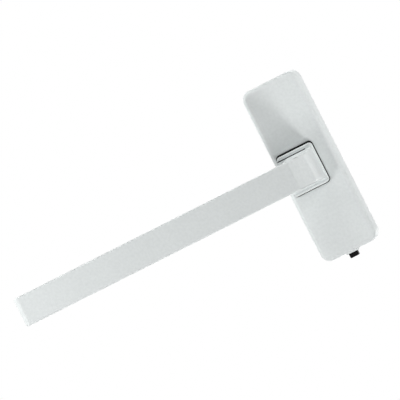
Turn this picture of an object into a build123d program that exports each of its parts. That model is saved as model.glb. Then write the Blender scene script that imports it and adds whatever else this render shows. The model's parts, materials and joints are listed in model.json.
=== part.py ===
from build123d import *
import os
from math import acos, cos, pi, radians, sin, tan

# Window handle with a rack-and-pinion drive, in millimetres.
# +Z is up along the housing, +X is to the right seen from the room, and the room lies towards -Y.
# The back face lies on y = 0, with the origin in the middle of the housing's outline.
# Depths are measured from the back face towards the room.

# Housing
housing_width = 31.0
housing_corner_radius = 5.0
housing_edge_radius = 2.2
side_wall = 1.8
front_wall = 1.8
end_gap = 1.2

# Back plate, its screws and its tapped fixing bosses
plate_thickness = 1.6
plate_clearance = 0.1
screw_radius = 1.2
screw_head_radius = 2.2
screw_length = 6.0
post_half_width = 3.1
post_inset = 3.0
fixing_spacing = 80.0
fixing_hole_radius = 2.1
fixing_boss_radius = 4.5
slot_web = 0.4

# Cross recess of a screw, as shares of the head's radius
recess_width_share = 0.28
recess_length_share = 1.1
recess_depth_share = 0.32

# Lever
pivot_offset = 3.0
lever_reach = 156.0
lever_width = 15.4
lever_thickness = 9.0
lever_rise = 34.6
lever_edge_radius = 0.9
tip_front_radius = 3.0
tip_back_radius = 1.5
elbow_chamfer = 7.9
elbow_front_radius = 1.6
elbow_rear_radius = 2.0
elbow_inner_radius = 5.0
neck_front_wall = 1.3
neck_draft = 0.4
neck_corner_radius = 1.3
foot_width = 19.8
foot_height = 21.8
foot_thickness = 2.2
foot_corner_radius = 1.8
foot_edge_chamfer = 0.45
foot_rear_rim = 0.4
foot_upper_rim = 1.75
foot_slot_width = 0.5
foot_slot_length = 16.0
foot_lower_rim = 1.2
foot_line_width = 0.2
foot_line_depth = 0.8

# Foot washer, hub, bush and what keeps the lever on
washer_thickness = 0.5
washer_overhang = 0.4
washer_top_overhang = 0.95
washer_gap = 0.1
hub_radius = 6.5
hub_land = 0.45
bush_wall = 1.5
bush_flange_width = 1.25
bush_flange_thickness = 0.7
thrust_washer_width = 2.45
thrust_washer_thickness = 0.4
ring_groove_depth = 0.3
ring_thickness = 0.9
ring_width = 1.9
ring_gap = 3.2

# Spindle and the grub screw that clamps it in the neck
spindle_width = 7.0
spindle_socket_depth = 21.0
spindle_journal_radius = 3.0
spindle_end_recess = 0.3
grub_radius = 2.0
grub_length = 4.0
grub_depth = 20.0
grub_key_radius = 1.15
grub_key_depth = 1.6

# Rack and pinion
gear_module = 1.0
pinion_teeth = 16
pressure_angle = 20.0
addendum = 0.8
dedendum = 1.05
backlash = 0.14
gear_thickness = 2.0
rack_teeth_above = 3
rack_teeth_below = 7
turn_angle = 90.0

# Slide: drive fork at the back, its screw, and the tail with its guide in the housing's lower end
fork_width = 7.0
fork_prong = 3.4
fork_reach = 12.0
fork_edge_chamfer = 0.4
fork_base_thickness = 1.0
fork_screw_radius = 0.9
fork_screw_head_radius = 1.5
fork_screw_length = 6.0
tail_offset = 0.3
tail_width = 4.7
tail_thickness = 2.6
tail_reach = 3.2
tail_block_height = 6.0
tail_end_chamfer = 0.3
tail_guide_wall = 0.6
tail_guide_lip = 0.75
tail_guide_flange_width = 0.5
tail_guide_flange_thickness = 0.8

# Detent
cam_thickness = 1.5
cam_half_width = 7.2
cam_lift = 1.6
spring_thickness = 0.5
spring_width = 1.4
spring_half_length = 15.4
spring_post_width = 2.4
spring_post_start = 11.8
spring_post_end = 16.2

# Rack guide
guide_width = 2.9
guide_height = 3.3
guide_half_length = 30.0
guide_peg_width = 1.6
guide_peg_length = 3.0
guide_peg_spacing = 44.0
guide_end_chamfer = 0.8

# Clearances
running_clearance = 0.05
press_clearance = 0.02
layer_gap = 0.1
slide_gap = 0.3

# Depths of the layers in the housing, from the back plate to the front face
gear_back = plate_thickness + slide_gap
gear_front = gear_back + gear_thickness
cam_back = gear_front + layer_gap
cam_front = cam_back + cam_thickness
hub_end = cam_front + layer_gap
ring_back = hub_end + hub_land + running_clearance
ring_front = ring_back + ring_thickness
thrust_back = ring_front + running_clearance
thrust_front = thrust_back + thrust_washer_thickness
flange_back = thrust_front + running_clearance
inner_front = flange_back + bush_flange_thickness
housing_depth = inner_front + front_wall
foot_back = housing_depth + washer_gap + washer_thickness
foot_front = foot_back + foot_thickness
lever_front = housing_depth + lever_rise
lever_back = lever_front - lever_thickness
neck_top = lever_back - elbow_inner_radius
tail_back = gear_front + slide_gap
tail_front = tail_back + tail_thickness
tail_guide_back = tail_back - slide_gap - tail_guide_wall
tail_guide_front = tail_front + slide_gap + tail_guide_wall

# Places in the front view
pivot_x = -pivot_offset
fixing_z = fixing_spacing / 2
inner_half_width = housing_width / 2 - side_wall
inner_half_length = fixing_z + fixing_boss_radius + end_gap
housing_length = 2 * (inner_half_length + side_wall)
post_x = inner_half_width - post_inset
post_z = inner_half_length - post_inset
neck_front_x = pivot_x - spindle_width / 2 - neck_front_wall
neck_rear_x = pivot_x + foot_width / 2 - foot_rear_rim - neck_draft
tip_x = pivot_x - lever_reach
foot_slot_z = foot_height / 2 - foot_upper_rim - foot_slot_width / 2
foot_line_z = foot_lower_rim + foot_line_width / 2 - foot_height / 2
neck_base_width = 2 * foot_slot_z - foot_slot_width
bore_radius = hub_radius + running_clearance
sleeve_radius = bore_radius + bush_wall
ring_radius = hub_radius - ring_groove_depth + running_clearance
pitch_radius = gear_module * pinion_teeth / 2
pitch = pi * gear_module
stroke = pitch_radius * radians(turn_angle)
rack_pitch_x = pivot_x + pitch_radius
rack_root_x = rack_pitch_x + dedendum
guide_far_x = inner_half_width - plate_clearance
guide_near_x = guide_far_x - guide_width
guide_x = (guide_near_x + guide_far_x) / 2
rack_back_x = guide_near_x - running_clearance
rack_top = post_z - post_half_width - stroke - 2 * slide_gap
crosspiece_top = -(pitch_radius + addendum + stroke + 2 * slide_gap)
crosspiece_bottom = -(fixing_z - fixing_boss_radius - slot_web - slide_gap)
crosspiece_height = crosspiece_top - crosspiece_bottom
crosspiece_z = (crosspiece_top + crosspiece_bottom) / 2
fork_screw_z = crosspiece_top - fork_prong / 2
tail_x = -tail_offset
tail_slot_width = tail_width + 2 * slide_gap
tail_guide_width = tail_slot_width + 2 * tail_guide_wall
tail_tip = -housing_length / 2 - tail_reach
spring_offset = cam_half_width + running_clearance
upright = (Align.CENTER, Align.CENTER, Align.MIN)


def slab(outline, start, end):
    """A front-view outline made solid between two depths."""
    return extrude(Plane.XZ.offset(start) * outline, end - start)


def at_pivot():
    """The pivot's place in the front view."""
    return Pos(pivot_x, 0)


def post_places():
    """Middles of the housing's four corner posts."""
    return [(side * post_x, end * post_z) for side in (-1, 1) for end in (-1, 1)]


def screw_places():
    """The two posts, in opposite corners, that take the back plate's screws: lower, upper."""
    return [(post_x, -post_z), (-post_x, post_z)]


def square_bore(start, end):
    """The square hole that slips over the spindle."""
    width = spindle_width + 2 * running_clearance
    return slab(at_pivot() * Rectangle(width, width), start, end)


def spring_places():
    """Middle of each leaf spring in the front view, left and right of the cam."""
    reach = spring_offset + spring_thickness / 2
    return [pivot_x - reach, pivot_x + reach]


def countersunk(x, z, seat, sense, radius, head_radius, length, clearance=0):
    """A screw without its recess, or its hole if there is a clearance. Sense 1 points to the room."""
    axis = Plane(origin=(x, -seat, z), z_dir=(0, -sense, 0))
    shank = Cylinder(radius + clearance, length + clearance, align=upright)
    head = Cone(head_radius + clearance, radius + clearance, head_radius - radius, align=upright)
    return axis * (shank + head)


def make_screw(x, z, seat, sense, radius, head_radius, length):
    """Countersunk screw with a cross recess."""
    bar_width = head_radius * recess_width_share
    bar_length = head_radius * recess_length_share
    cross = Rectangle(bar_length, bar_width) + Rectangle(bar_width, bar_length)
    recess = slab(Pos(x, z) * cross, seat, seat + sense * head_radius * recess_depth_share)
    return countersunk(x, z, seat, sense, radius, head_radius, length) - recess


def make_housing():
    """White shell, open at the back, with posts for the back plate and for the springs' ends."""
    outline = RectangleRounded(housing_width, housing_length, housing_corner_radius)
    shell = slab(outline, 0, housing_depth)
    shell = fillet(shell.faces().sort_by(Axis.Y)[0].edges(), housing_edge_radius)
    cavity_radius = housing_corner_radius - side_wall
    cavity = RectangleRounded(2 * inner_half_width, 2 * inner_half_length, cavity_radius)
    shell -= slab(cavity, 0, inner_front)
    for x, z in post_places():
        post = Pos(x, z) * Rectangle(2 * post_half_width, 2 * post_half_width)
        shell += slab(cavity & post, plate_thickness, inner_front)
    for x, z in screw_places():
        pilot = screw_radius + press_clearance
        shell -= slab(Pos(x, z) * Circle(pilot), 0, screw_length + layer_gap)
    shell -= slab(at_pivot() * Circle(sleeve_radius + press_clearance), 0, housing_depth)

    spring_post_length = spring_post_end - spring_post_start
    spring_post_z = (spring_post_start + spring_post_end) / 2
    slot_width = spring_thickness + 2 * running_clearance
    slot_end = spring_half_length + layer_gap
    for x in spring_places():
        for side in (-1, 1):
            post = Pos(x, side * spring_post_z) * Rectangle(spring_post_width, spring_post_length)
            post -= Pos(x, side * slot_end / 2) * Rectangle(slot_width, slot_end)
            shell += slab(post, cam_back + layer_gap, inner_front)

    opening_width = tail_guide_width + 2 * press_clearance
    opening = Pos(tail_x, -housing_length / 2) * Rectangle(opening_width, 2 * side_wall)
    return shell - slab(opening, tail_guide_back - press_clearance, tail_guide_front + press_clearance)


def make_tail_guide():
    """White plastic guide pressed into the housing's lower end from inside, with a lip round the tail."""
    top = tail_guide_flange_thickness - inner_half_length
    bottom = -housing_length / 2 - tail_guide_lip
    flange_width = tail_guide_width + 2 * tail_guide_flange_width
    flange = Rectangle(flange_width, tail_guide_flange_thickness)
    flange = Pos(tail_x, top - tail_guide_flange_thickness / 2) * flange
    sleeve = Pos(tail_x, (top + bottom) / 2) * Rectangle(tail_guide_width, top - bottom)
    slot = Pos(tail_x, (top + bottom) / 2) * Rectangle(tail_slot_width, top - bottom)
    guide = slab(flange, tail_guide_back - tail_guide_flange_width, tail_guide_front)
    guide += slab(sleeve, tail_guide_back, tail_guide_front)
    return guide - slab(slot, tail_back - slide_gap, tail_front + slide_gap)


def make_back_plate():
    """Cast plate with tapped bosses, the fork's slot and the spindle's rear bearing."""
    width = 2 * (inner_half_width - plate_clearance)
    length = 2 * (inner_half_length - plate_clearance)
    plate = slab(RectangleRounded(width, length, housing_corner_radius - side_wall), 0, plate_thickness)
    for side in (-1, 1):
        plate += slab(Pos(0, side * fixing_z) * Circle(fixing_boss_radius), 0, gear_front)
    for side in (-1, 1):
        plate -= slab(Pos(0, side * fixing_z) * Circle(fixing_hole_radius), 0, gear_front)
    slot_bottom = crosspiece_bottom - slide_gap
    slot_top = crosspiece_top + stroke + slide_gap
    slot = Rectangle(fork_width + 2 * slide_gap, slot_top - slot_bottom)
    plate -= slab(Pos(0, (slot_bottom + slot_top) / 2) * slot, 0, plate_thickness)
    plate -= slab(at_pivot() * Circle(spindle_journal_radius + running_clearance), 0, plate_thickness)
    for peg in guide_pegs(press_clearance):
        plate -= slab(peg, 0, plate_thickness)
    for x, z in screw_places():
        plate -= countersunk(x, z, 0, 1, screw_radius, screw_head_radius, screw_length, press_clearance)
    return plate


def make_back_plate_screw(x, z):
    """Screw that holds the back plate, its head flush with the back face."""
    return make_screw(x, z, 0, 1, screw_radius, screw_head_radius, screw_length)


def make_lever():
    """One casting: bar, chamfered elbow, drafted neck, slotted foot and round hub with a square socket."""
    side_view = Plane(origin=(0, 0, 0), x_dir=(1, 0, 0), z_dir=(0, 0, -1))
    points = [
        (neck_front_x, neck_top),
        (neck_front_x, lever_back),
        (tip_x, lever_back),
        (tip_x, lever_front),
        (neck_rear_x - elbow_chamfer, lever_front),
        (neck_rear_x, lever_front - elbow_chamfer),
        (neck_rear_x, neck_top),
    ]
    radii = [
        elbow_inner_radius,
        tip_back_radius,
        tip_front_radius,
        elbow_front_radius,
        elbow_rear_radius,
    ]
    path = FilletPolyline(*points, radius=radii)
    closing = Line(points[-1], points[0])
    profile = make_face([*path.edges(), closing])
    bar = extrude(side_view * profile, lever_width / 2, both=True)
    rims = [
        edge
        for face in (bar.faces().sort_by(Axis.Z)[0], bar.faces().sort_by(Axis.Z)[-1])
        for edge in face.edges()
        if abs(edge.center().Y + neck_top) > press_clearance
    ]
    bar = fillet(rims, lever_edge_radius)

    neck_middle = (neck_front_x + neck_rear_x) / 2
    neck_thickness = neck_rear_x - neck_front_x
    neck_section = RectangleRounded(neck_thickness, lever_width, lever_edge_radius)
    base_section = RectangleRounded(neck_thickness + 2 * neck_draft, neck_base_width, neck_corner_radius)
    neck = loft(
        [
            Plane.XZ.offset(foot_front) * (Pos(neck_middle, 0) * base_section),
            Plane.XZ.offset(neck_top) * (Pos(neck_middle, 0) * neck_section),
        ],
        ruled=True,
    )
    foot_outline = RectangleRounded(foot_width, foot_height, foot_corner_radius)
    foot = slab(at_pivot() * foot_outline, foot_back, foot_front)
    foot = chamfer(foot.faces().sort_by(Axis.Y)[0].edges(), foot_edge_chamfer)
    foot_slot = Rectangle(foot_slot_length, foot_slot_width)
    foot_slot = Pos((foot_slot_length - foot_width) / 2, foot_slot_z) * foot_slot
    foot -= slab(at_pivot() * foot_slot, foot_back, foot_front)
    foot_line = Pos(0, foot_line_z) * Rectangle(foot_width, foot_line_width)
    foot -= slab(at_pivot() * foot_line, foot_front - foot_line_depth, foot_front)
    hub = slab(at_pivot() * Circle(hub_radius), hub_end, foot_back)
    groove = slab(
        at_pivot() * (Circle(hub_radius) - Circle(hub_radius - ring_groove_depth)),
        ring_back - running_clearance,
        ring_front + running_clearance,
    )
    socket_width = spindle_width + 2 * press_clearance
    socket = slab(
        at_pivot() * Rectangle(socket_width, socket_width), hub_end, hub_end + spindle_socket_depth
    )
    lever = bar + neck + foot + hub - groove - socket
    return lever - grub_axis() * Cylinder(grub_radius + press_clearance, foot_height / 2, align=upright)


def grub_axis():
    """Starts on the spindle's lower side and points down through the neck."""
    start = spindle_width / 2 + press_clearance
    return Plane(origin=(pivot_x, -grub_depth, -start), z_dir=(0, 0, -1))


def make_grub_screw():
    """Headless screw with a hexagon socket, from the underside of the neck to the spindle."""
    screw = Cylinder(grub_radius, grub_length, align=upright)
    key = extrude(RegularPolygon(grub_key_radius, 6), grub_key_depth)
    return grub_axis() * (screw - Pos(0, 0, grub_length - grub_key_depth) * key)


def make_foot_washer():
    """Thin black washer under the foot, a little larger than it, most of all at the upper end."""
    outline = RectangleRounded(
        foot_width + 2 * washer_overhang,
        foot_height + washer_overhang + washer_top_overhang,
        foot_corner_radius + washer_overhang,
    )
    outline = Pos(0, (washer_top_overhang - washer_overhang) / 2) * outline
    return slab(at_pivot() * (outline - Circle(bore_radius)), housing_depth + washer_gap, foot_back)


def make_pivot_bush():
    """Flanged plastic bush pressed into the front wall from inside."""
    sleeve = Circle(sleeve_radius) - Circle(bore_radius)
    flange = Circle(sleeve_radius + bush_flange_width) - Circle(bore_radius)
    bush = slab(at_pivot() * sleeve, flange_back, housing_depth)
    return bush + slab(at_pivot() * flange, flange_back, inner_front)


def make_thrust_washer():
    """Steel washer between the bush and the snap ring."""
    outline = Circle(bore_radius + thrust_washer_width) - Circle(bore_radius)
    return slab(at_pivot() * outline, thrust_back, thrust_front)


def make_retaining_ring():
    """Snap ring in the hub's groove, open towards the top."""
    outline = Circle(ring_radius + ring_width) - Circle(ring_radius)
    outline -= Pos(0, ring_radius + ring_width / 2) * Rectangle(ring_gap, 2 * ring_width)
    return slab(at_pivot() * outline, ring_back, ring_front)


def make_spindle():
    """Square bar with a turned rear journal."""
    square = slab(
        at_pivot() * Rectangle(spindle_width, spindle_width),
        plate_thickness + layer_gap,
        hub_end + spindle_socket_depth - layer_gap,
    )
    journal = slab(
        at_pivot() * Circle(spindle_journal_radius), spindle_end_recess, plate_thickness + layer_gap
    )
    return square + journal


def make_detent_cam():
    """Square cam with its corners turned round, which the leaf springs hold every quarter turn."""
    outline = Rectangle(2 * cam_half_width, 2 * cam_half_width) & Circle(cam_half_width + cam_lift)
    return slab(at_pivot() * outline, cam_back, cam_front) - square_bore(cam_back, cam_front)


def make_detent_spring(x):
    """Straight leaf spring with its ends in the housing's posts."""
    start = cam_back + layer_gap
    outline = Pos(x, 0) * Rectangle(spring_thickness, 2 * spring_half_length)
    return slab(outline, start, start + spring_width)


def involute_half_angle(radius):
    """Half the angle that a pinion tooth fills at this radius."""
    def involute(angle):
        return tan(angle) - angle

    base = pitch_radius * cos(radians(pressure_angle))
    at_pitch = (pitch / 2 - backlash / 2) / (2 * pitch_radius)
    return at_pitch + involute(radians(pressure_angle)) - involute(acos(min(1, base / radius)))


def make_drive_pinion():
    """Involute spur gear with a square bore. A space between two teeth faces the rack."""
    base = pitch_radius * cos(radians(pressure_angle))
    root = pitch_radius - dedendum
    tip = pitch_radius + addendum

    def flank_point(radius, side):
        angle = side * involute_half_angle(radius)
        return (radius * cos(angle), radius * sin(angle))

    def flank(side):
        radii = (base, (base + tip) / 2, tip)
        return ThreePointArc(*[flank_point(radius, side) for radius in radii])

    inside = root - dedendum
    foot_angle = involute_half_angle(base)
    low_root = (inside * cos(foot_angle), -inside * sin(foot_angle))
    high_root = (inside * cos(foot_angle), inside * sin(foot_angle))
    lower, upper = flank(-1), flank(1)
    tooth = make_face(
        [
            Line(low_root, lower @ 0),
            lower,
            ThreePointArc(lower @ 1, (tip, 0), upper @ 1),
            upper,
            Line(upper @ 0, high_root),
            Line(high_root, low_root),
        ]
    )
    outline = Circle(root)
    tooth_angle = 360 / pinion_teeth
    for index in range(pinion_teeth):
        outline += Rot(0, 0, (index + 0.5) * tooth_angle) * tooth
    return slab(at_pivot() * outline, gear_back, gear_front) - square_bore(gear_back, gear_front)


def rack_tooth():
    """One straight-sided rack tooth in the front view, pointing at the pinion."""
    slope = tan(radians(pressure_angle))
    half = (pitch / 2 - backlash / 2) / 2
    tip_half = half - addendum * slope
    root_half = half + dedendum * slope
    low_side = [(dedendum, -root_half), (-addendum, -tip_half)]
    high_side = [(-addendum, tip_half), (dedendum, root_half)]
    return make_face(Polyline(*low_side, *high_side, close=True))


def make_rack_slider():
    """Cast slide: toothed bar, crosspiece with a seat for the fork, and the tail below the housing."""
    bar = Rectangle(rack_back_x - rack_root_x, rack_top - crosspiece_bottom)
    outline = Pos((rack_root_x + rack_back_x) / 2, (rack_top + crosspiece_bottom) / 2) * bar
    left_x = -fork_width / 2
    crosspiece = Rectangle(rack_back_x - left_x, crosspiece_height)
    outline += Pos((left_x + rack_back_x) / 2, crosspiece_z) * crosspiece
    for index in range(-rack_teeth_below, rack_teeth_above + 1):
        outline += Pos(rack_pitch_x, index * pitch) * rack_tooth()
    slide = slab(outline, gear_back, gear_front)

    seat = Pos(0, crosspiece_z) * Rectangle(fork_width + 2 * press_clearance, crosspiece_height)
    slide -= slab(seat, gear_back, gear_back + fork_base_thickness)
    slide -= fork_screw_solid(press_clearance)

    tail_top = crosspiece_bottom + tail_block_height
    tail_outline = Pos(tail_x, (tail_top + tail_tip) / 2) * Rectangle(tail_width, tail_top - tail_tip)
    tail = slab(tail_outline, tail_back, tail_front)
    tail = chamfer(tail.faces().sort_by(Axis.Z)[0].edges(), tail_end_chamfer)
    block_outline = Rectangle(tail_width, tail_block_height)
    block_outline = Pos(tail_x, tail_top - tail_block_height / 2) * block_outline
    return slide + slab(block_outline, gear_front, tail_back) + tail


def make_drive_fork():
    """Cast fork let into the back of the crosspiece. Its two prongs reach through the back plate."""
    base_outline = Pos(0, crosspiece_z) * Rectangle(fork_width, crosspiece_height)
    fork = slab(base_outline, gear_back, gear_back + fork_base_thickness)
    for z in (crosspiece_top - fork_prong / 2, crosspiece_bottom + fork_prong / 2):
        prong = slab(Pos(0, z) * Rectangle(fork_width, fork_prong), -fork_reach, gear_back)
        fork += chamfer(prong.faces().sort_by(Axis.Y)[-1].edges(), fork_edge_chamfer)
    return fork - fork_screw_solid(press_clearance)


def fork_screw_solid(clearance=0):
    """The fork's screw without its recess, or the hole for it."""
    sizes = (fork_screw_radius, fork_screw_head_radius, fork_screw_length)
    return countersunk(0, fork_screw_z, gear_front, -1, *sizes, clearance)


def make_fork_screw():
    """Screw that holds the fork, its head flush with the front of the crosspiece."""
    sizes = (fork_screw_radius, fork_screw_head_radius, fork_screw_length)
    return make_screw(0, fork_screw_z, gear_front, -1, *sizes)


def guide_pegs(clearance=0):
    """Outlines of the guide's two pegs, or of the holes for them."""
    peg = Rectangle(guide_peg_width + 2 * clearance, guide_peg_length + 2 * clearance)
    return [Pos(guide_x, side * guide_peg_spacing / 2) * peg for side in (-1, 1)]


def make_rack_guide():
    """Plastic strip that keeps the rack in mesh, pegged to the back plate beside the side wall."""
    outline = Pos(guide_x, 0) * Rectangle(guide_width, 2 * guide_half_length)
    outline = chamfer(outline.vertices(), guide_end_chamfer)
    strip = slab(outline, plate_thickness, plate_thickness + guide_height)
    for peg in guide_pegs():
        strip += slab(peg, layer_gap, plate_thickness)
    return strip


def make_parts():
    """Every piece by its name."""
    left, right = spring_places()
    lower, upper = screw_places()
    return {
        "housing": make_housing(),
        "back_plate": make_back_plate(),
        "back_plate_screw_upper": make_back_plate_screw(*upper),
        "back_plate_screw_lower": make_back_plate_screw(*lower),
        "tail_guide": make_tail_guide(),
        "pivot_bush": make_pivot_bush(),
        "rack_guide": make_rack_guide(),
        "detent_spring_left": make_detent_spring(left),
        "detent_spring_right": make_detent_spring(right),
        "lever": make_lever(),
        "grub_screw": make_grub_screw(),
        "foot_washer": make_foot_washer(),
        "thrust_washer": make_thrust_washer(),
        "retaining_ring": make_retaining_ring(),
        "spindle": make_spindle(),
        "detent_cam": make_detent_cam(),
        "drive_pinion": make_drive_pinion(),
        "rack_slider": make_rack_slider(),
        "drive_fork": make_drive_fork(),
        "fork_screw": make_fork_screw(),
    }


os.makedirs("parts", exist_ok=True)
for name, piece in make_parts().items():
    export_step(piece, f"parts/{name}.step")
    box = piece.bounding_box()
    print(f"{name}: {piece.volume:.1f} mm3, {box.size.X:.2f} x {box.size.Y:.2f} x {box.size.Z:.2f} mm")
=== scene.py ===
# %% [markdown]
# # A white window handle
# This lesson dresses a finished solid model of a window handle: a flat lever with a folded elbow, on a
# slim housing that hides a rack and a pinion. The solids already have the right sizes and places. What
# is left to do in Blender is the paint, the plastic and the metal, the threads of the fixing holes,
# soft light, and a camera that stands where the photograph was taken from.

import json
import math

import bmesh
import bpy
from mathutils import Matrix, Vector


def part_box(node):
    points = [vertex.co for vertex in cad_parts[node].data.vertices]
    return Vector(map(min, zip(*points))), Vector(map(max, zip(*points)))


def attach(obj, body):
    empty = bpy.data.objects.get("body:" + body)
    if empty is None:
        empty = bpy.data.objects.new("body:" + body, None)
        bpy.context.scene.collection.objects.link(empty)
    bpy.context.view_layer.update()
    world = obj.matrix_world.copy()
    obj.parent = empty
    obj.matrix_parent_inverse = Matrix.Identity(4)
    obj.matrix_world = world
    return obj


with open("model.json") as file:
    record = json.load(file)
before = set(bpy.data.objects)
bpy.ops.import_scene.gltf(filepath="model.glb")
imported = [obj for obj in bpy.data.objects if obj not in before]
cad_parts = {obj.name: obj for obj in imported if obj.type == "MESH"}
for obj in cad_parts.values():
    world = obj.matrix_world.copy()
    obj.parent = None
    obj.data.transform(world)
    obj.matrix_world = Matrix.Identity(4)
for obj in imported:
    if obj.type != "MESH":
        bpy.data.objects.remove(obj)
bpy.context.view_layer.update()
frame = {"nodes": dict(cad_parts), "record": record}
nodes = frame["nodes"]
mm_per_metre = 1000


print("solids:", ", ".join(sorted(nodes)))

# %% [markdown]
# ## Arithmetic with shader sockets
# A finish is easier to read as a formula than as a web of nodes. The small class below wraps one output
# socket, so that `0.3 + 0.1 * grain` adds the two Math nodes by itself. Numbers alone stay in Python.
# The reflected forms, such as `__radd__`, are what lets a plain number stand on the left.

# %% A socket that can be added and multiplied
class Signal:
    """One output socket of a node tree, with the operators that the finishes use."""

    def __init__(self, web, socket):
        self.web = web
        self.socket = socket

    def maths(self, operation, first, second):
        return self.web.node("ShaderNodeMath", {"operation": operation}, {0: first, 1: second})

    def __add__(self, other):
        return self.maths("ADD", self, other)

    def __radd__(self, other):
        return self.maths("ADD", other, self)

    def __mul__(self, other):
        return self.maths("MULTIPLY", self, other)

    def __rmul__(self, other):
        return self.maths("MULTIPLY", other, self)


print("operators of a signal: + and *, with a number on either side")

# %% [markdown]
# ## Making nodes
# Materials and the world are both node trees, so both use the same helper. One method makes any node.
# Its settings are set first, because they can change which sockets it has, and then its sockets get a
# number, a colour or a link.

# %% One method for any node
class Web:
    """A node tree that grows one node at a time."""

    def __init__(self, tree):
        self.tree = tree

    def node(self, kind, settings=None, inputs=None, output=0):
        made = self.tree.nodes.new(kind)
        for name, value in (settings or {}).items():
            setattr(made, name, value)
        for name, value in (inputs or {}).items():
            self.feed(made.inputs[name], value)
        return Signal(self, made.outputs[output]) if made.outputs else None

    def feed(self, socket, value):
        if isinstance(value, Signal):
            self.tree.links.new(value.socket, socket)
        else:
            socket.default_value = value


print("helpers of a web: node, feed")

# %% [markdown]
# ## A finish
# Every finish here is one Principled shader. What is the same all over the piece is set on the shader
# itself. What varies is a noise pattern measured in metres on the piece, through Object coordinates.
# The piece's place is in its mesh, so a grain keeps its size, and it stays put when the piece moves.
#
# Two colours are mixed by a Mix node. It has a set of sockets for each kind of data, and all the sets
# have the same names, so the sockets for colours are picked by their numbers.

# %% Patterns of a finish
mix_share, mix_dark, mix_light = 0, 6, 7
mix_colour = 2


class Finish(Web):
    """A procedural material with one Principled shader."""

    def __init__(self, name, **constants):
        self.material = bpy.data.materials.new(name)
        self.material.use_nodes = True
        super().__init__(self.material.node_tree)
        self.shader = self.tree.nodes["Principled BSDF"]
        for socket, value in constants.items():
            self.shader.inputs[socket.replace("_", " ")].default_value = value
        self.place = self.node("ShaderNodeTexCoord", output="Object")

    def noise(self, cell, detail=2.0, place=None):
        """Soft noise whose lumps are about one cell wide, in metres."""
        inputs = {"Vector": place or self.place, "Scale": 1 / cell, "Detail": detail}
        return self.node("ShaderNodeTexNoise", inputs=inputs)

    def stretched(self, scale):
        """Coordinates pulled along an axis, for brushed or drawn metal."""
        return self.node("ShaderNodeMapping", inputs={"Vector": self.place, "Scale": scale})

    def blend(self, share, dark, light):
        """A colour between a dark and a light one."""
        inputs = {mix_share: share, mix_dark: (*dark, 1), mix_light: (*light, 1)}
        return self.node("ShaderNodeMix", {"data_type": "RGBA"}, inputs, output=mix_colour)

    def bump(self, height, depth, strength):
        """A normal that leans with a height of 0 to 1, which stands for this depth in metres."""
        inputs = {"Height": height, "Distance": depth, "Strength": strength}
        return self.node("ShaderNodeBump", inputs=inputs)

    def dress(self, colour, roughness, normal):
        """Joins what changes over the surface to the shader."""
        self.feed(self.shader.inputs["Base Color"], colour)
        self.feed(self.shader.inputs["Roughness"], roughness)
        self.feed(self.shader.inputs["Normal"], normal)
        print("finish:", self.material.name, "with", len(self.tree.nodes), "nodes")
        return self.material


print("helpers of a finish: noise, stretched, blend, bump, dress")

# %% [markdown]
# ## White powder coat
# The housing and the lever are castings under a baked white powder coat. It is a cool white with only
# a little gloss. A flat white would look like plain plastic, because powder is never quite even: it
# flows into shallow lumps about a millimetre wide, called orange peel, with a much finer speckle on
# top. Both are a bump here. The coat is thinner between the lumps, so they also mottle the white very
# faintly. The speckle breaks up the gloss, and a slow cloud lets the white drift along the lever.

# %% White paint of the housing and the lever
def white_powder_coat():
    finish = Finish("white_powder_coat", IOR=1.45)
    peel = finish.noise(cell=0.0014, detail=1.0)
    speckle = finish.noise(cell=0.00035)
    cloud = finish.noise(cell=0.018, detail=3.0)
    shade = 0.22 * cloud + 0.68 * peel + 0.1 * speckle
    colour = finish.blend(shade, dark=(0.72, 0.755, 0.752), light=(0.88, 0.915, 0.912))
    roughness = 0.48 + 0.12 * speckle
    height = 0.75 * peel + 0.25 * speckle
    return finish.dress(colour, roughness, finish.bump(height, depth=0.00005, strength=0.6))


white_paint = white_powder_coat()

# %% [markdown]
# ## Black plastic and black zinc
# The washer under the foot is moulded in black nylon, dull and faintly grained. The slide that shows
# below the housing is zinc with a black passivation: darker and smoother, with cloudy patches where the
# bath worked longer. Both swallow light, so their specular level is low. Otherwise the white surround
# would turn them grey.

# %% Black washer and black slide
def black_nylon():
    finish = Finish("black_nylon", IOR=1.5, Specular_IOR_Level=0.15)
    grain = finish.noise(cell=0.0004)
    cloud = finish.noise(cell=0.006)
    colour = finish.blend(cloud, dark=(0.004, 0.004, 0.004), light=(0.009, 0.009, 0.009))
    roughness = 0.5 + 0.15 * grain
    return finish.dress(colour, roughness, finish.bump(grain, depth=0.00002, strength=0.5))


def black_passivated_zinc():
    finish = Finish("black_passivated_zinc", IOR=1.45, Specular_IOR_Level=0.12)
    cloud = finish.noise(cell=0.004, detail=3.0)
    grain = finish.noise(cell=0.0003)
    colour = finish.blend(cloud, dark=(0.0015, 0.0015, 0.0015), light=(0.004, 0.004, 0.004))
    roughness = 0.36 + 0.18 * cloud
    height = 0.5 * grain + 0.5 * cloud
    return finish.dress(colour, roughness, finish.bump(height, depth=0.00002, strength=0.4))


washer_black = black_nylon()
slide_black = black_passivated_zinc()

# %% [markdown]
# ## Bare metals
# Inside and at the back no metal is painted. Castings are dull grey zinc with flow marks, where the
# melt ran along the mould. The spindle, the springs and the screws are steel, drawn through a die, so
# their fine lines run along one axis. A noise is the same in all directions, so its coordinates are
# stretched along that axis first.

# %% Zinc castings and steel
def cast_zinc():
    finish = Finish("cast_zinc", Metallic=0.9)
    flow = finish.noise(cell=0.007, detail=4.0, place=finish.stretched((1, 1, 0.45)))
    grain = finish.noise(cell=0.0005, detail=3.0)
    shade = 0.7 * flow + 0.3 * grain
    colour = finish.blend(shade, dark=(0.34, 0.35, 0.36), light=(0.54, 0.55, 0.56))
    roughness = 0.38 + 0.22 * flow
    height = 0.6 * grain + 0.4 * flow
    return finish.dress(colour, roughness, finish.bump(height, depth=0.00005, strength=0.5))


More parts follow.
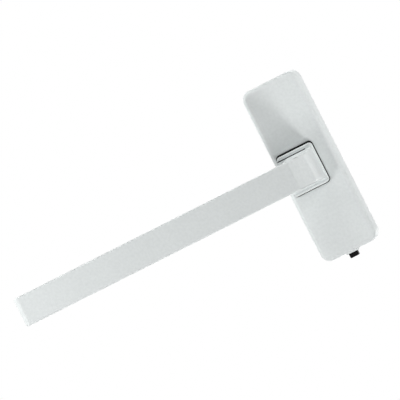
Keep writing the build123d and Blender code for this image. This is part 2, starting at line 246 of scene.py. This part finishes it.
def drawn_steel():
    finish = Finish("drawn_steel", Metallic=1.0)
    lines = finish.noise(cell=0.0004, place=finish.stretched((1, 0.06, 1)))
    cloud = finish.noise(cell=0.005)
    colour = finish.blend(cloud, dark=(0.40, 0.40, 0.40), light=(0.54, 0.54, 0.53))
    roughness = 0.22 + 0.2 * lines
    return finish.dress(colour, roughness, finish.bump(lines, depth=0.00001, strength=0.5))


casting_grey = cast_zinc()
steel_bright = drawn_steel()

# %% [markdown]
# ## Pale plastics
# The bush and the rack's guide are cream acetal, which needs no grease. The small guide round the tail
# shows below the housing, so it is nylon moulded in white to go with the paint. The two plastics have
# the same grain and differ only in their colours, so one function makes both.

# %% Acetal and white nylon
def moulded_plastic(name, dark, light):
    finish = Finish(name, IOR=1.5)
    cloud = finish.noise(cell=0.006)
    grain = finish.noise(cell=0.0005)
    colour = finish.blend(cloud, dark, light)
    roughness = 0.4 + 0.12 * grain
    return finish.dress(colour, roughness, finish.bump(grain, depth=0.00002, strength=0.4))


acetal_cream = moulded_plastic("cream_acetal", dark=(0.72, 0.70, 0.63), light=(0.80, 0.78, 0.71))
nylon_white = moulded_plastic("white_nylon", dark=(0.76, 0.79, 0.785), light=(0.82, 0.85, 0.845))

# %% [markdown]
# ## Dress the solids
# The solids keep their shapes. Each one only gets its finish, in its first material slot. This could be
# a line for each piece, but a list of pieces for each finish shows at a glance what is made of what.

# %% One finish for every solid
finishes = {
    white_paint: ["housing", "lever"],
    washer_black: ["foot_washer"],
    slide_black: ["rack_slider"],
    casting_grey: ["back_plate", "drive_fork", "detent_cam", "drive_pinion"],
    steel_bright: [
        "back_plate_screw_upper",
        "back_plate_screw_lower",
        "fork_screw",
        "grub_screw",
        "spindle",
        "thrust_washer",
        "retaining_ring",
        "detent_spring_left",
        "detent_spring_right",
    ],
    acetal_cream: ["pivot_bush", "rack_guide"],
    nylon_white: ["tail_guide"],
}
for material, names in finishes.items():
    for name in names:
        nodes[name].data.materials.clear()
        nodes[name].data.materials.append(material)
    print(material.name, "on", ", ".join(names))

# %% [markdown]
# ## Threads in the fixing holes
# Two screws through the window sash hold the handle, so the two bosses of its back plate are tapped.
# The solids have plain holes at the tapping size, because a thread would be far too fine for them. A
# thread is one ridge wound along the hole. Spin makes it from a small triangle: each step turns the
# triangle about the hole's axis and also moves it a little way in.

# %% Sizes of the thread
fixing = next(mount for mount in frame["record"]["mounts"] if mount["name"] == "fixing_holes")
hole_radius = fixing["dims"]["hole_r_mm"] / mm_per_metre
hole_offset = fixing["dims"]["spacing_y_mm"] / 2 / mm_per_metre
hole_depth = -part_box("back_plate")[0][1]
thread_pitch = 0.0008
ridge_height = 0.0002
ridge_width = 0.8 * thread_pitch
steps_per_turn = 40
thread_turns = int(hole_depth / thread_pitch) - 1
thread_start = (hole_depth - thread_turns * thread_pitch) / 2
print("hole", round(hole_depth, 4), "m deep, with", thread_turns, "turns of thread")

# %% Wind a ridge along each hole
def wind_thread(name, hole_z):
    """A ridge with a three-cornered section, wound along one fixing hole."""
    crest = hole_radius - ridge_height
    section = [(hole_radius, -ridge_width / 2), (crest, 0), (hole_radius, ridge_width / 2)]
    ridge = bmesh.new()
    first = [ridge.verts.new((radius, along - thread_start, hole_z)) for radius, along in section]
    edges = [ridge.edges.new((first[index - 1], first[index])) for index in range(len(first))]
    wound = bmesh.ops.spin(
        ridge,
        geom=first + edges,
        cent=(0, 0, hole_z),
        axis=(0, 1, 0),
        dvec=(0, -thread_pitch / steps_per_turn, 0),
        angle=2 * math.pi * thread_turns,
        steps=thread_turns * steps_per_turn,
    )
    last = [part for part in wound["geom_last"] if isinstance(part, bmesh.types.BMVert)]
    ridge.faces.new(first)
    ridge.faces.new(last)
    bmesh.ops.recalc_face_normals(ridge, faces=ridge.faces)
    mesh = bpy.data.meshes.new(name)
    ridge.to_mesh(mesh)
    ridge.free()
    mesh.materials.append(casting_grey)
    thread = bpy.data.objects.new(name, mesh)
    bpy.context.scene.collection.objects.link(thread)
    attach(thread, "base")
    print(name, "has", len(mesh.polygons), "faces")


wind_thread("fixing_thread_upper", hole_offset)
wind_thread("fixing_thread_lower", -hole_offset)

# %% [markdown]
# ## White surround
# The photograph has a plain white background. A white world at full strength would also flood the
# handle with light from all sides, and its shadows would be gone. So the world asks the Light Path node
# what kind of ray has come: rays from the camera, from a gloss and through glass meet pure white, and
# all others meet a weak fill. The three answers are added up. Where two are true, the Mix Shader still
# takes the sum as 1.

# %% World that is white to look at and weak as a lamp
white = (1, 1, 1, 1)
fill_strength = 0.15


def looking_rays(web):
    """1 for rays that look at a surface, and 0 for rays that only bring its light to another."""
    kinds = ("Is Camera Ray", "Is Glossy Ray", "Is Transmission Ray")
    return sum(web.node("ShaderNodeLightPath", output=kind) for kind in kinds)


world = bpy.data.worlds.new("white_surround")
world.use_nodes = True
world.node_tree.nodes.clear()
bpy.context.scene.world = world
surround = Web(world.node_tree)
fill = surround.node("ShaderNodeBackground", inputs={"Color": white, "Strength": fill_strength})
backdrop = surround.node("ShaderNodeBackground", inputs={"Color": white, "Strength": 1.0})
sky = surround.node("ShaderNodeMixShader", inputs={0: looking_rays(surround), 1: fill, 2: backdrop})
surround.node("ShaderNodeOutputWorld", inputs={"Surface": sky})
print("fill strength", fill_strength, "with", len(world.node_tree.nodes), "world nodes")

# %% [markdown]
# ## Floor
# A window handle sits about a metre up, so the pale floor lies well below it. The photograph doesn't
# show it, but from above it closes the scene. Little of the lamps' light gets down there, and it would
# look grey beside the white surround. So most of what a looking ray meets is a plain white glow, and
# the rest is a real surface, on which a shadow still shows.

# %% Disc of the floor
floor_height = -0.8
floor_radius = 1.2
floor_mesh = bpy.data.meshes.new("floor")
disc = bmesh.new()
bmesh.ops.create_circle(disc, cap_ends=True, segments=64, radius=floor_radius)
bmesh.ops.translate(disc, verts=disc.verts, vec=(0, 0, floor_height))
disc.to_mesh(floor_mesh)
disc.free()
floor = bpy.data.objects.new("floor", floor_mesh)
bpy.context.scene.collection.objects.link(floor)
print("floor at", floor_height, "m, radius", floor_radius, "m")

# %% Pale surface with a white glow
floor_glow = 0.8


def pale_floor():
    finish = Finish("pale_floor")
    dust = finish.noise(cell=0.02)
    colour = finish.blend(dust, dark=(0.86, 0.86, 0.86), light=(0.9, 0.9, 0.9))
    roughness = 0.75 + 0.1 * dust
    surface = Signal(finish, finish.shader.outputs["BSDF"])
    glow = finish.node("ShaderNodeEmission", inputs={"Color": white, "Strength": 1.0})
    share = floor_glow * looking_rays(finish)
    mixed = finish.node("ShaderNodeMixShader", inputs={0: share, 1: surface, 2: glow})
    finish.feed(finish.tree.nodes["Material Output"].inputs["Surface"], mixed)
    return finish.dress(colour, roughness, finish.bump(dust, depth=0.0001, strength=0.3))


floor_mesh.materials.append(pale_floor())

# %% [markdown]
# ## Soft lamps
# The shadows on the housing, above and to the right of the foot, say where the light came from: mostly
# from the left and from below. A point lamp would draw hard shadows, so each lamp is a round area lamp
# that faces the handle. Most of the places and powers were worked out from the brightness of the
# handle's faces in the photograph. The three near lamps are small and weak. Being near, they light one
# end of the handle more than the other. One lamp behind brightens the housing's right side. Two broad
# ones light the back, which the photograph doesn't show. One of them stands low and one high, because a
# lamp that stood level there would be mirrored in the lever's flat top.

# %% A lamp that faces the handle
lamp_aim = Vector((-0.02, -0.01, 0.0))


def soft_lamp(name, azimuth, elevation, power, distance, size):
    """A round lamp that faces the handle. Azimuth 0 stands in front, 90 to the right, 180 behind."""
    turn, lift = math.radians(azimuth), math.radians(elevation)
    sight = Vector((math.sin(turn) * math.cos(lift), -math.cos(turn) * math.cos(lift), math.sin(lift)))
    light = bpy.data.lights.new(name, "AREA")
    light.shape = "DISK"
    light.size = size
    light.energy = power
    lamp = bpy.data.objects.new(name, light)
    bpy.context.scene.collection.objects.link(lamp)
    lamp.location = lamp_aim + sight * distance
    lamp.rotation_mode = "QUATERNION"
    lamp.rotation_quaternion = (-sight).to_track_quat("-Z", "Y")
    print(name, "at", [round(value, 3) for value in lamp.location], "m,", power, "W")


print("lamps face the point", list(lamp_aim))

# %% Lamps all round
far = {"distance": 0.6, "size": 0.16}
near = {"distance": 0.3, "size": 0.08}
broad = {"distance": 0.8, "size": 0.4}
soft_lamp("lamp_left", azimuth=-54, elevation=-10, power=1.34, **far)
soft_lamp("lamp_near_left", azimuth=-60, elevation=20, power=0.071, **near)
soft_lamp("lamp_high_left", azimuth=-80, elevation=45, power=1.2, **far)
soft_lamp("lamp_low", azimuth=24, elevation=-49, power=1.42, **far)
soft_lamp("lamp_high", azimuth=20, elevation=70, power=0.18, **near)
soft_lamp("lamp_right", azimuth=80, elevation=20, power=0.35, **near)
soft_lamp("lamp_back_right", azimuth=150, elevation=-20, power=0.84, **far)
soft_lamp("lamp_back_low", azimuth=-175, elevation=-35, power=1.5, **broad)
soft_lamp("lamp_back_high", azimuth=-175, elevation=35, power=1.5, **broad)

# %% [markdown]
# ## Camera
# The photograph was taken from a little to the right, almost level, with a long lens, and the picture
# was turned so that the lever climbs from left to right. Those angles and the point in the middle of
# the picture were worked out from the handle's edges in the photograph. A camera that tracks a target
# stays upright, so here its three axes are worked out from the angles and set by a matrix.

# %% Axes of the camera
side_angle = math.radians(12.92)
rise_angle = math.radians(0.93)
turn_angle = math.radians(26.94)

right = Vector((math.cos(side_angle), math.sin(side_angle), 0))
towards = Vector((
    math.sin(side_angle) * math.cos(rise_angle),
    -math.cos(side_angle) * math.cos(rise_angle),
    math.sin(rise_angle),
))
up = towards.cross(right)
image_right = right * math.cos(turn_angle) - up * math.sin(turn_angle)
image_up = right * math.sin(turn_angle) + up * math.cos(turn_angle)
camera_axes = Matrix((image_right, image_up, towards)).transposed()
print("from the handle to the camera:", [round(value, 3) for value in towards])

# %% Camera of the photograph
camera_distance = 3.0
picture_middle = Vector((-0.05749, -0.01, 0.00959))
pixels_per_metre = 1990
picture_width = 400
sensor = 36.0

camera_data = bpy.data.cameras.new("camera")
camera_data.sensor_width = sensor
camera_data.lens = sensor * pixels_per_metre * camera_distance / picture_width
camera_data.clip_start = 0.01
camera_data.clip_end = 20
camera = bpy.data.objects.new("camera", camera_data)
bpy.context.scene.collection.objects.link(camera)
camera_place = Matrix.Translation(picture_middle + camera_distance * towards)
camera.matrix_world = camera_place @ camera_axes.to_4x4()
bpy.context.scene.camera = camera
print("lens", round(camera_data.lens, 1), "mm, camera at", [round(value, 3) for value in camera.location])

# %% [markdown]
# ## Close
# The colours are shown as they are written, with the Standard view.

# %% Standard view
bpy.context.scene.view_settings.view_transform = "Standard"
